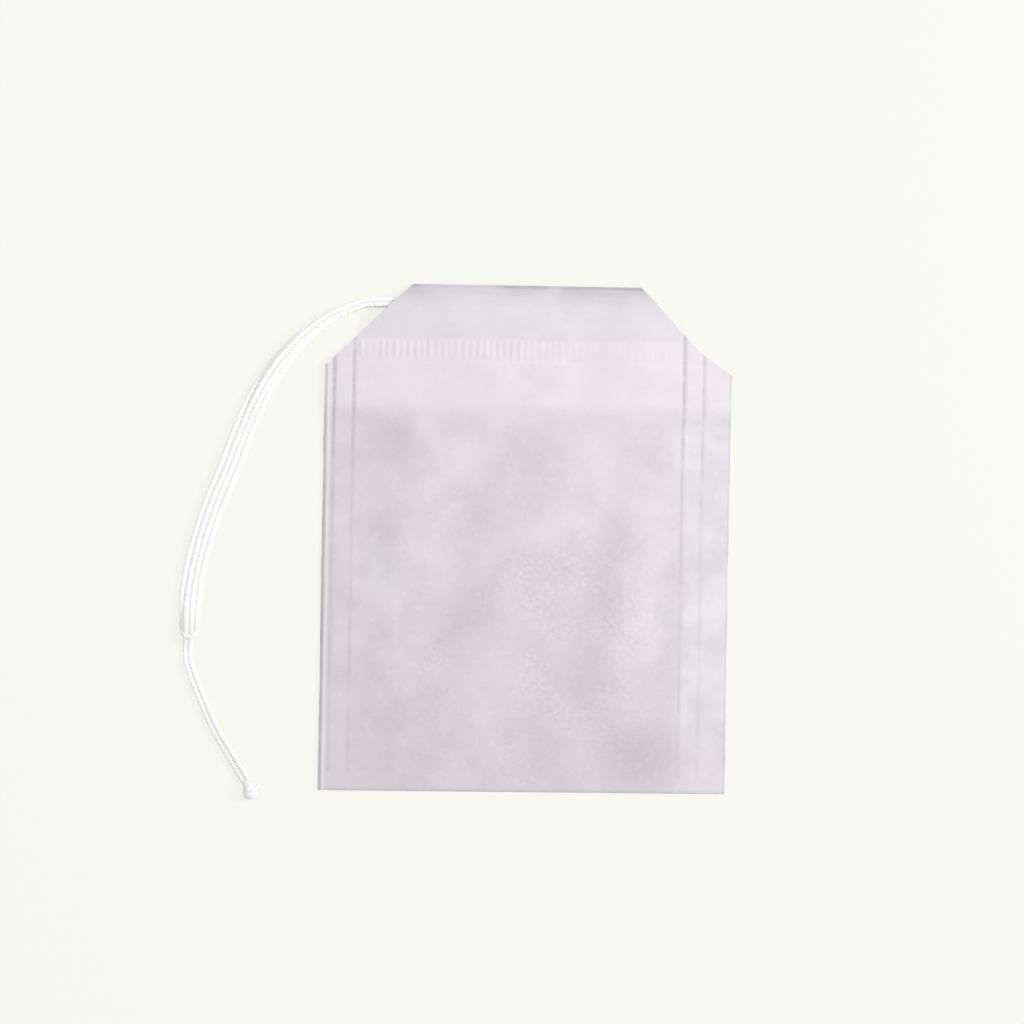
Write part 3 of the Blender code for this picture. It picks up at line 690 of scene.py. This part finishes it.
def pocketPly(x, y):
    across = smoothStep(x, seals["left"][1], seals["left"][1] + paper["swellEdge"])
    across *= 1 - smoothStep(x, seals["right"][0] - paper["swellEdge"], seals["right"][0])
    along = smoothStep(y, -foldAxis, -foldAxis + paper["bottomSlope"])
    return paper["ply"] + (paper["swell"] + undulation(x, y)) * across * along


def backPanel(x, y):
    press = seals["depth"] * welded(x, y) + ribs["height"] * (crimped(y) - rib(x, y))
    return paper["wall"] / 2 + press


def backHem(x, y):
    return paper["wall"] / 2 + ribs["height"] * crimped(y) + channelPly(x, y)


def frontHem(x, y):
    return backHem(x, y) + paper["ply"]


def frontPanel(x, y):
    overHem = frontHem(x, y) + channelPly(x, y) + ribs["height"] * rib(x, y)
    overPocket = backPanel(x, y) + pocketPly(x, y)
    edge = hemEdge + 0.0008 * noise.noise(Vector((x * 140.0, 3.1, 0.7)))
    level = overPocket + (overHem - overPocket) * smoothStep(y, edge - paper["hemStep"], edge)
    return level - seals["depth"] * welded(x, y)


def askew(x, y):
    # Where a place of the true rectangle lies on the table.
    share = max(hemEdge - y, 0.0) / (hemEdge + halfLength)
    rise = paper["bottomRise"] * (x + halfWidth) / (2 * halfWidth)
    waver = noise.noise(Vector((y * 110.0, math.copysign(9.0, x), 0.0)))
    waver += 0.4 * noise.noise(Vector((y * 420.0, x * 9.0, 5.0)))
    edge = paper["edgeWaver"] * waver * abs(x / halfWidth) ** 12
    return x + edge, y + rise * share


def spread(low, high, count):
    return [low + (high - low) * step / count for step in range(count + 1)]


def stripColumns():
    # Close together at the weld lines, further apart between them.
    stops = [-halfWidth]
    for line in sorted(weldLines):
        stops += [line - seals["grooveWidth"] / 2, line + seals["grooveWidth"] / 2]
    stops.append(halfWidth)
    places = [stops[0]]
    for index, (low, high) in enumerate(zip(stops, stops[1:])):
        step = paper["fineStep"] if index % 2 else paper["coarseStep"]
        places += spread(low, high, max(1, round((high - low) / step)))[1:]
    return places


def stripSection(x):
    # One line along the strip, from the back hem's edge round to the front hem's edge.
    def flat(rows, surface):
        return [(y, surface(x, y)) for y in rows]

    def fold(axis, first, last, side, steps=6):
        low, high = first(x, axis), last(x, axis)
        middle, radius = (low + high) / 2, (high - low) / 2
        reach = side * abs(radius)
        turns = [math.pi * step / steps for step in range(1, steps)]
        return [(axis + reach * math.sin(turn), middle - radius * math.cos(turn)) for turn in turns]

    line = (
        flat(innerRows, backHem)
        + fold(foldAxis, backHem, backPanel, 1)
        + flat(backRows, backPanel)
        + fold(-foldAxis, backPanel, frontPanel, -1)
        + flat(pocketRows + hemRows, frontPanel)
        + fold(foldAxis, frontPanel, frontHem, 1)
        + flat(list(reversed(innerRows)), frontHem)
    )
    return [Vector((*askew(x, y), z)) for y, z in line]


innerRows = [hemEdge, 0.5 * (hemEdge + crimpBottom), crimpBottom - paper["crimpBlend"], crimpBottom, crimpTop]
innerRows += spread(crimpTop + paper["crimpBlend"], threadY - strandPitch, 5)
innerRows += spread(threadY + strandPitch, foldAxis, 4)
hemRows = spread(hemEdge + 0.0008, crimpBottom - paper["crimpBlend"], 12)
hemRows += spread(crimpBottom - 0.0002, crimpTop + paper["crimpBlend"], 12)
hemRows += spread(crimpTop + 2 * paper["crimpBlend"], threadY - strandPitch, 9)
hemRows += spread(threadY + strandPitch, foldAxis, 7)
pocketRows = spread(-foldAxis, hemEdge - paper["hemStep"] - 0.0008, 50)
pocketRows += spread(hemEdge - paper["hemStep"] - 0.0008, hemEdge + 0.0008, 9)[1:-1]
backRows = [foldAxis, foldAxis - paper["crimpBlend"], crimpTop + 2 * paper["crimpBlend"]]
backRows += [crimpTop + paper["crimpBlend"]] + spread(crimpTop, crimpBottom, 4)
backRows += [crimpBottom - paper["crimpBlend"], crimpBottom - 2 * paper["crimpBlend"], 0.010, -0.005, -0.020]
backRows += [sealBottom, sealBottom - seals["grooveWidth"], -foldAxis]


def cutCorner(bm, corner, steps=8):
    # Slices the folded plies along the cut and drops what lies past it.
    side, across, down = corner["side"], corner["across"], corner["down"]
    start = Vector((side * (halfWidth - across), halfLength, 0.0))
    past, zone = paper["cutPast"], paper["cutZone"]
    end = Vector((side * (halfWidth + past), halfLength - down * (1 + past / across), 0.0))
    inward = Vector((-side * down, -across, 0.0)).normalized()
    shares = [step / steps for step in range(steps + 1)] if corner["bow"] else [0.0, 1.0]
    edge = [
        start.lerp(end, share) + inward * corner["bow"] * math.sin(math.pi * share ** corner["late"])
        for share in shares
    ]
    planes = []
    for first, second in zip(edge, edge[1:]):
        along = (second - first).normalized()
        outward = Vector((along.y, -along.x, 0.0))
        planes.append((first, outward if outward.x * side > 0 else -outward))
    for first, outward in planes:
        verts = {
            vert for vert in bm.verts
            if side * vert.co.x > halfWidth - across - zone and vert.co.y > halfLength - down - zone
        }
        faces = {face for vert in verts for face in vert.link_faces}
        edges = {line for face in faces for line in face.edges}
        geometry = list({vert for face in faces for vert in face.verts}) + list(edges) + list(faces)
        bmesh.ops.bisect_plane(bm, geom=geometry, plane_co=first, plane_no=outward, dist=1e-7)
    cutOff = [
        face for face in bm.faces
        if all((face.calc_center_median() - first).dot(outward) > 0 for first, outward in planes)
    ]
    bmesh.ops.delete(bm, geom=cutOff, context="FACES")


def buildBag(material):
    places = stripColumns()
    sections = [stripSection(x) for x in places]
    columns, rows = len(places), len(sections[0])
    bm = bmesh.new()
    bmesh.ops.create_grid(bm, x_segments=columns - 1, y_segments=rows - 1, size=1.0)
    for vert in bm.verts:
        column = round((vert.co.x + 1) / 2 * (columns - 1))
        row = round((vert.co.y + 1) / 2 * (rows - 1))
        vert.co = sections[column][row]
    for corner in corners.values():
        cutCorner(bm, corner)
    for face in bm.faces:
        face.smooth = True
    bag = newObject("filterBagPaper", bm, material)
    wall = bag.modifiers.new("wall", "SOLIDIFY")
    wall.thickness = paper["wall"]
    wall.offset = 0.0
    graph = bpy.context.evaluated_depsgraph_get()
    solid = bpy.data.meshes.new_from_object(bag.evaluated_get(graph))
    bag.modifiers.clear()
    bag.data = solid
    solid.set_sharp_from_angle(angle=paper["sharp"])
    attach(bag, "root")
    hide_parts("filter_bag")
    print("bag:", len(solid.polygons), "faces")


# The drawstring


def splinePoint(points, place):
    index = min(int(place), len(points) - 2)
    part = place - index
    before = points[max(index - 1, 0)]
    first, last = points[index], points[index + 1]
    after = points[min(index + 2, len(points) - 1)]
    return 0.5 * (
        2 * first
        + (last - before) * part
        + (2 * before - 5 * first + 4 * last - after) * part**2
        + (3 * first - before - 3 * last + after) * part**3
    )


def smoothLine(points, count):
    last = len(points) - 1
    return [splinePoint(points, last * step / (count - 1)) for step in range(count)]


def towardsBag(points, index):
    before = points[max(index - 1, 0)]
    after = points[min(index + 1, len(points) - 1)]
    along = (after - before).xy.normalized()
    return Vector((-along.y, along.x, 0.0))


def fuller(y):
    more, low, high = thread["loosened"]
    return 1.0 + more * smoothStep(y, low - 0.002, low) * (1 - smoothStep(y, high, high + 0.005))


def strandOffsets(opened, full):
    # The tails ride on the bight's legs, and sink between them as these spread.
    packedLeg, packedTail = full * thread["legDiameter"] / 2, full * thread["tailDiameter"] / 2
    leg = packedLeg + (thread["legSpread"] - packedLeg) * opened
    tail = packedTail + (thread["tailSpread"] - packedTail) * opened
    reach = packedLeg + packedTail + thread["space"]
    height = max(packedLeg + math.sqrt(max(reach**2 - (leg - tail) ** 2, 0.0)), packedTail)
    return [(-leg, packedLeg), (leg, packedLeg), (-tail, height), (tail, height)]


def cornerX(name, y):
    corner = corners[name]
    share = (halfLength - y) / corner["down"]
    return corner["side"] * (halfWidth - corner["across"] * (1 - share))


def strandStarts():
    x = cornerX("left", threadY)
    side = strandPitch / 2
    heights = (backThreadZ, backThreadZ, frontThreadZ, frontThreadZ)
    return [Vector((x, threadY + step, z)) for step, z in zip((side, -side, side, -side), heights)]


def bundleStrands():
    line = smoothLine([Vector(point) for point in bundleRoute], thread["bundlePoints"])
    strands = [[start] for start in strandStarts()]
    for index, point in enumerate(line):
        side = towardsBag(line, index)
        offsets = strandOffsets(min(max(point.z, 0.0), 1.0), fuller(point.y))
        for number, (strand, (away, height)) in enumerate(zip(strands, offsets)):
            away += thread["wander"] * point.z * noise.noise(Vector((point.y * 260.0, number * 4.7, 1.1)))
            strand.append(Vector((point.x, point.y, height * thread["lift"])) + side * away)
    return strands


def bightPoints(outer, inner):
    first, last = outer[-1], inner[-1]
    middle = (first + last) / 2
    arm = first - middle
    down = (first - outer[-2]).xy.normalized()
    ahead = Vector((down.x, down.y, 0.0)) * arm.length * thread["turnReach"]
    lift = Vector((0.0, 0.0, strandPitch))
    turn = []
    for step in range(1, 6):
        angle = math.pi * step / 6
        rise = smoothStep(math.sin(angle), 0.0, 0.9)
        across = math.copysign(abs(math.cos(angle)) ** thread["turnSquare"], math.cos(angle))
        turn.append(middle + arm * across + ahead * math.sin(angle) ** thread["turnSquare"] + lift * rise)
    return outer + turn + list(reversed(inner))


def tailPoints(strand, side):
    middle = [Vector((x, y, 0.0)) for x, y in tailRoute + [knotAt]]
    line = smoothLine(middle, thread["tailPoints"])
    points = list(strand)
    for index, point in enumerate(line[:-1]):
        offset = towardsBag(line, index) * side * strandPitch / 2
        points.append(Vector((point.x, point.y, thread["lift"] * thread["tailDiameter"] / 2)) + offset)
    along = (line[-1] - line[-2]).normalized()
    end = line[-1] - along * thread["knotRadius"] * 0.5
    end += towardsBag(line, len(line) - 1) * side * strandPitch / 4
    points.append(Vector((end.x, end.y, thread["knotRadius"] * 0.8)))
    return points


def hemPoints(side):
    y = threadY + side * strandPitch / 2
    start = cornerX("left", threadY)
    radius = (frontThreadZ - backThreadZ) / 2
    centre = cornerX("right", threadY) - thread["loopInset"] - thread["hemDiameter"] / 2 - radius
    middle = (frontThreadZ + backThreadZ) / 2
    front = [Vector((x, y, frontThreadZ)) for x in spread(start, centre, 6)[:-1]]
    angles = [math.pi / 2 - math.pi * step / 6 for step in range(7)]
    bend = [Vector((centre + radius * math.cos(a), y, middle + radius * math.sin(a))) for a in angles]
    back = [Vector((x, y, backThreadZ)) for x in reversed(spread(start, centre, 6)[:-1])]
    return front + bend + back


def evenPath(points, step):
    # The smooth curve through the points, at even steps of its length.
    fine = 60
    dense = [splinePoint(points, place / fine) for place in range(fine * (len(points) - 1) + 1)]
    lengths = [0.0]
    for first, second in zip(dense, dense[1:]):
        lengths.append(lengths[-1] + (second - first).length)
    count = max(2, round(lengths[-1] / step))
    path, index = [], 0
    for number in range(count + 1):
        wanted = lengths[-1] * number / count
        while index < len(lengths) - 2 and lengths[index + 1] < wanted:
            index += 1
        part = (wanted - lengths[index]) / max(lengths[index + 1] - lengths[index], 1e-12)
        path.append(dense[index].lerp(dense[index + 1], min(max(part, 0.0), 1.0)))
    return path, lengths[-1]


def framesAlong(path):
    # A tangent and two cross directions for each point, turned as little as possible on the way.
    frames = []
    side = None
    for index, point in enumerate(path):
        before, after = path[max(index - 1, 0)], path[min(index + 1, len(path) - 1)]
        tangent = (after - before).normalized()
        if side is None:
            side = tangent.orthogonal().normalized()
        side = (side - tangent * side.dot(tangent)).normalized()
        frames.append((tangent, side, tangent.cross(side)))
    return frames


def skinRings(bm, rings, smooth):
    # Joins each ring of points to the next and closes both ends.
    sides = len(rings[0])
    for first, second in zip(rings, rings[1:]):
        for step in range(sides):
            after = (step + 1) % sides
            bm.faces.new((first[step], first[after], second[after], second[step])).smooth = smooth
    bm.faces.new(list(reversed(rings[0])))
    bm.faces.new(rings[-1])


def twistedTube(name, path, radius, material, seed):
    # Two plies twisted round each other: a section with two lobes that turns along the path.
    sides = thread["sides"]
    core, lobes, sharpness = thread["section"]
    bm = bmesh.new()
    rings = []
    frames = framesAlong(path)
    length = 0.0
    for index, (point, (tangent, side, up)) in enumerate(zip(path, frames)):
        if index:
            length += (point - path[index - 1]).length
        waver = noise.noise(Vector((length * 900.0, seed * 5.3, 0.0)))
        turn = 2 * math.pi * (length / thread["plyTurn"] + thread["turnWaver"] * waver) + seed
        uneven = 1.0 + thread["uneven"] * noise.noise(Vector((length * 1500.0, seed * 2.1, 3.0)))
        thick = radius * uneven * fuller(point.y)
        ring = []
        for step in range(sides):
            angle = 2 * math.pi * step / sides
            reach = thick * (core + lobes * abs(math.cos(angle - turn)) ** sharpness)
            ring.append(bm.verts.new(point + (side * math.cos(angle) + up * math.sin(angle)) * reach))
        rings.append(ring)
    skinRings(bm, rings, True)
    bmesh.ops.recalc_face_normals(bm, faces=bm.faces)
    return newObject(name, bm, material)


hair = {
    "perMetre": 7000,
    "radius": 0.000016,
    "shortest": 0.0004,
    "longest": 0.0012,
    "steps": 4,
    "rise": 0.4,  # how much of its way a hair goes upwards
    "lean": 2.4,  # how far it may lie along the thread
    "curl": 0.5,
    "lowest": 0.00003,  # above the table
}


def looseHairs(name, paths, material, seed):
    # Fine lint standing off the thread, as slim three-sided hairs.
    rng = random.Random(seed)
    bm = bmesh.new()
    for path in paths:
        frames = framesAlong(path)
        length = sum((b - a).length for a, b in zip(path, path[1:]))
        for _ in range(int(length * hair["perMetre"])):
            index = rng.randrange(2, len(path) - 2)
            tangent, side, up = frames[index]
            angle = rng.uniform(0.1, 0.9) * math.pi
            rise = abs(math.sin(angle)) * hair["rise"]
            outward = Vector((side.x * math.cos(angle), side.y * math.cos(angle), rise))
            outward = (outward + tangent * rng.uniform(-hair["lean"], hair["lean"])).normalized()
            curl = Vector((rng.uniform(-1, 1), rng.uniform(-1, 1), rng.uniform(-0.2, 0.2)))
            reach = rng.uniform(hair["shortest"], hair["longest"])
            spine = []
            for step in range(hair["steps"] + 1):
                part = step / hair["steps"]
                spot = path[index] + outward * reach * part + curl * reach * hair["curl"] * part * part
                spot.z = max(spot.z, hair["lowest"])
                spine.append(spot)
            rings = []
            for spot, (_, a, b) in zip(spine, framesAlong(spine)):
                turns = [2 * math.pi * corner / 3 for corner in range(3)]
                around = [(a * math.cos(turn) + b * math.sin(turn)) * hair["radius"] for turn in turns]
                rings.append([bm.verts.new(spot + away) for away in around])
            skinRings(bm, rings, False)
    bmesh.ops.recalc_face_normals(bm, faces=bm.faces)
    return newObject(name, bm, material)


knotShape = {
    "height": 1.05,  # of its middle above the table, in its radii
    "lump": 0.94,
    "uneven": (0.12, 1200.0),  # share and scale
    "teardrop": (1.9, 0.30),  # how much longer and slimmer it is towards the tails
    "wrapTilt": 0.25,
    "wrapInset": 0.8,  # in radii of the thread
    "stubHeading": (0.9, 0.35),  # across and back along the tails
    "stubFrom": 0.4,
    "stubLonger": 1.1,
    "stubDrop": 0.0003,
    "squeeze": 0.95,
    "voxel": 0.00004,
    "smooth": (0.5, 4),  # factor and rounds
}


def buildKnot(material):
    # A tight lump with one turn of thread round it and a cut end, melted together.
    shape = knotShape
    radius, thick = thread["knotRadius"], thread["tailDiameter"] / 2
    centre = Vector((knotAt[0], knotAt[1], shape["height"] * radius))
    arriving = Vector((knotAt[0] - tailRoute[-1][0], knotAt[1] - tailRoute[-1][1], 0.0)).normalized()
    across = Vector((-arriving.y, arriving.x, 0.0))
    lump = bmesh.new()
    bmesh.ops.create_icosphere(lump, subdivisions=4, radius=radius * shape["lump"])
    share, scale = shape["uneven"]
    longer, slimmer = shape["teardrop"]
    for vert in lump.verts:
        vert.co *= 1.0 + share * noise.noise(vert.co * scale)
        along = vert.co.dot(arriving)
        if along < 0:
            aside = (vert.co - arriving * along) * (1 + slimmer * along / radius)
            vert.co = arriving * along * longer + aside
        vert.co += centre
    turns = [2 * math.pi * step / 40 for step in range(41)]
    tilt = (arriving + across * shape["wrapTilt"]).normalized()
    flat = Vector((-tilt.y, tilt.x, 0.0))
    up = Vector((0.0, 0.0, 1.0))
    reach = radius - thick * shape["wrapInset"]
    wrap = [centre + (flat * math.cos(turn) + up * math.sin(turn)) * reach for turn in turns]
    sideways, back = shape["stubHeading"]
    heading = (across * sideways - arriving * back).normalized()
    stub = []
    for step in range(13):
        away = radius * shape["stubFrom"] + thread["stubLength"] * shape["stubLonger"] * step / 12
        spot = centre + heading * away
        stub.append(Vector((spot.x, spot.y, spot.z - shape["stubDrop"] * step / 12)))
    for number, path in enumerate((wrap, stub)):
        piece = twistedTube("knotTurn", path, thick * shape["squeeze"], material, 9.0 + number)
        lump.from_mesh(piece.data)
        bpy.data.objects.remove(piece, do_unlink=True)
    knot = newObject("drawstringKnot", lump, material)
    melt = knot.modifiers.new("melt", "REMESH")
    melt.mode = "VOXEL"
    melt.voxel_size = shape["voxel"]
    melt.use_smooth_shade = True
    even = knot.modifiers.new("even", "SMOOTH")
    even.factor, even.iterations = shape["smooth"]
    graph = bpy.context.evaluated_depsgraph_get()
    knot.data = bpy.data.meshes.new_from_object(knot.evaluated_get(graph))
    knot.modifiers.clear()
    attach(knot, "root")
    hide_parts("drawstring_knot")
    print("knot:", len(knot.data.polygons), "faces")
    return knot


def buildDrawstring(material):
    outerLeg, innerLeg, outerTail, innerTail = bundleStrands()
    starts = strandStarts()
    knot = buildKnot(material)
    free = [
        ("Bight", "bight", bightPoints(outerLeg, innerLeg), "object", starts[0], "legDiameter"),
        ("Tail1", "tail_1", tailPoints(outerTail, -1), "knot", starts[2], "tailDiameter"),
        ("Tail2", "tail_2", tailPoints(innerTail, 1), "knot", starts[3], "tailDiameter"),
    ]
    paths = []
    for number, (name, node, points, farEnd, start, size) in enumerate(free):
        path, length = evenPath(points, thread["ringStep"])
        paths.append(path)
        piece = twistedTube("drawstring" + name, path, thread[size] / 2, material, number + 1.0)
        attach(piece, "root")
        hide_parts("drawstring_" + node)
        print(piece.name, "is", round(length * 1000, 1), "mm long")
    for side in (1, -1):
        name = "drawstringHemRun" + ("1" if side == 1 else "2")
        path, length = evenPath(hemPoints(side), thread["ringStep"])
        piece = twistedTube(name, path, thread["hemDiameter"] / 2, material, 5.0 + side)
        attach(piece, "root")
        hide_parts("drawstring_hem_run_" + ("1" if side == 1 else "2"))
    lint = looseHairs("drawstringLint", paths, material, 11)
    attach(lint, "root")


bpy.context.scene.view_settings.view_transform = "Standard"
makeCamera()
makeWorld()
makeFloor()
makeLamp("key", lighting["keyPlace"], lighting["keySize"], lighting["keyPower"])
makeLamp("fill", lighting["fillPlace"], lighting["fillSize"], lighting["fillPower"])
print("camera, lamps and floor are in place")
fibres = buildFibreGroup()
buildDrawstring(makeCottonMaterial(fibres))
print("drawstring is laid")
buildBag(makePaperMaterial(fibres))
print("bag is folded")
